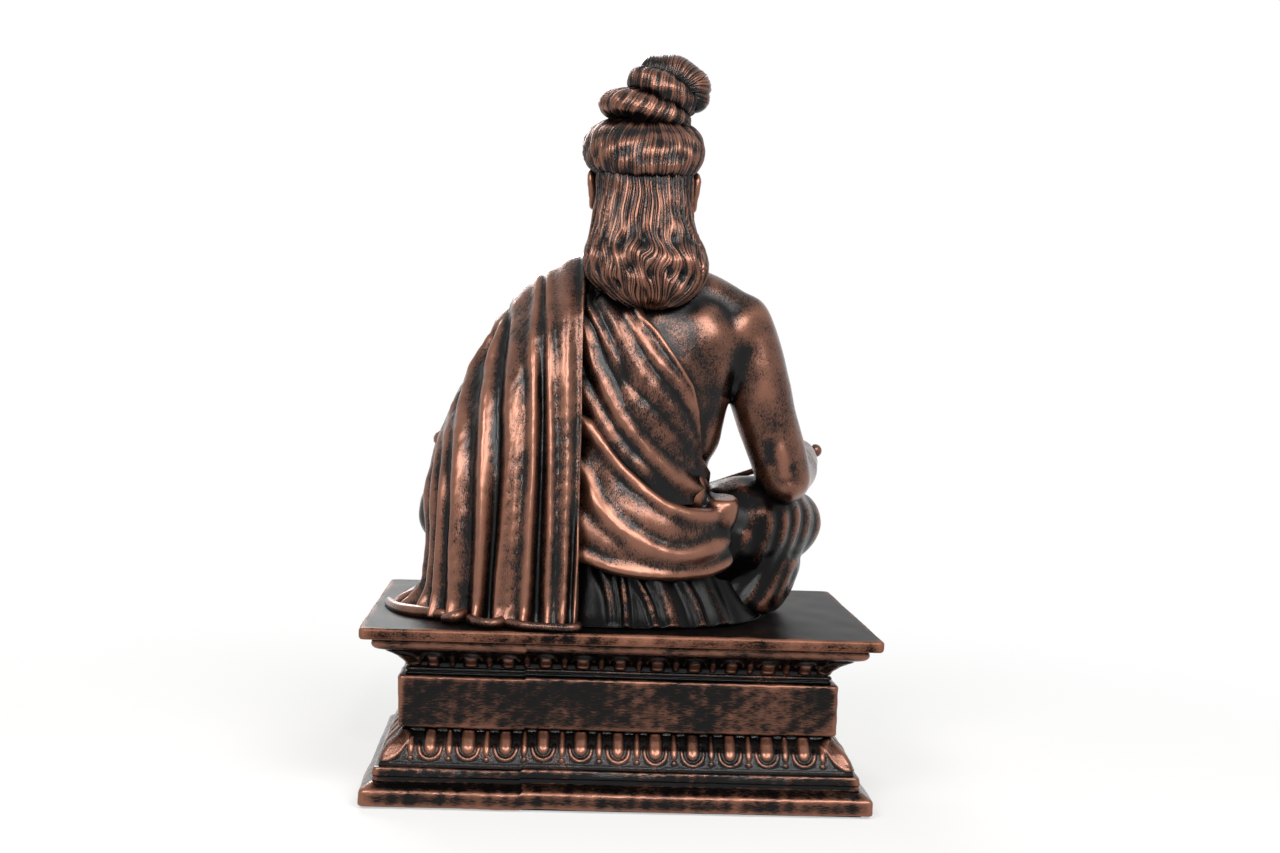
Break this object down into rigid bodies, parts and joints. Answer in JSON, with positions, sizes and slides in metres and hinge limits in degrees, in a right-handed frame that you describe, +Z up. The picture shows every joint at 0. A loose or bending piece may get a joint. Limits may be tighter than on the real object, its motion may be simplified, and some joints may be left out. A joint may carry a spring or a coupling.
{
  "type": "seated poet statue",
  "caption": "Cast ornament of a cross-legged, long-haired poet with stylus and palm-leaf manuscript, in draped cloth, on a stepped rectangular pedestal with egg-and-dart bands.",
  "frame": {"origin": "middle of the felt under the pedestal, at the bottom of the object's box", "axes": "+Z up; the figure faces -Y, so the picture looks at it from +Y; +X to the figure's left"},
  "size_m": [0.202, 0.14, 0.3012],
  "materials": {
    "copper_resin": "cast resin, dry-brushed copper over a near-black base coat, gloss lacquer",
    "dark_copper_resin": "the same coats, with the dark base coat left in the hollows",
    "steel": "plain steel fixings",
    "felt": "thin pressed felt"
  },
  "bodies": {
    "root": {"base_felt": "felt", "foot_plinth": "copper_resin", "foot_step": "copper_resin", "lower_egg_band": "dark_copper_resin", "dado_block": "copper_resin", "upper_egg_band": "dark_copper_resin", "cornice_moulding": "copper_resin", "top_slab": "copper_resin", "clamp_stud": "steel", "clamp_washer": "steel", "clamp_nut": "steel", "neck_dowel": "steel", "right_arm_dowel": "steel", "left_arm_dowel": "steel", "torso": "copper_resin", "hip_wrap": "copper_resin", "torso_wrap": "copper_resin", "seat_skirt": "dark_copper_resin", "right_leg": "copper_resin", "left_leg": "copper_resin", "right_foot": "copper_resin", "left_foot": "copper_resin", "right_upper_arm": "copper_resin", "left_upper_arm": "copper_resin", "right_forearm": "copper_resin", "left_forearm": "copper_resin", "right_hand": "copper_resin", "left_hand": "copper_resin", "stylus": "copper_resin", "palm_leaf_manuscript": "copper_resin", "head": "copper_resin", "beard": "copper_resin", "hair_roll": "copper_resin", "back_hair": "copper_resin", "hair_coil_lower": "copper_resin", "hair_coil_upper": "copper_resin", "topknot": "copper_resin", "shoulder_drape": "copper_resin"}
  },
  "joints": []
}
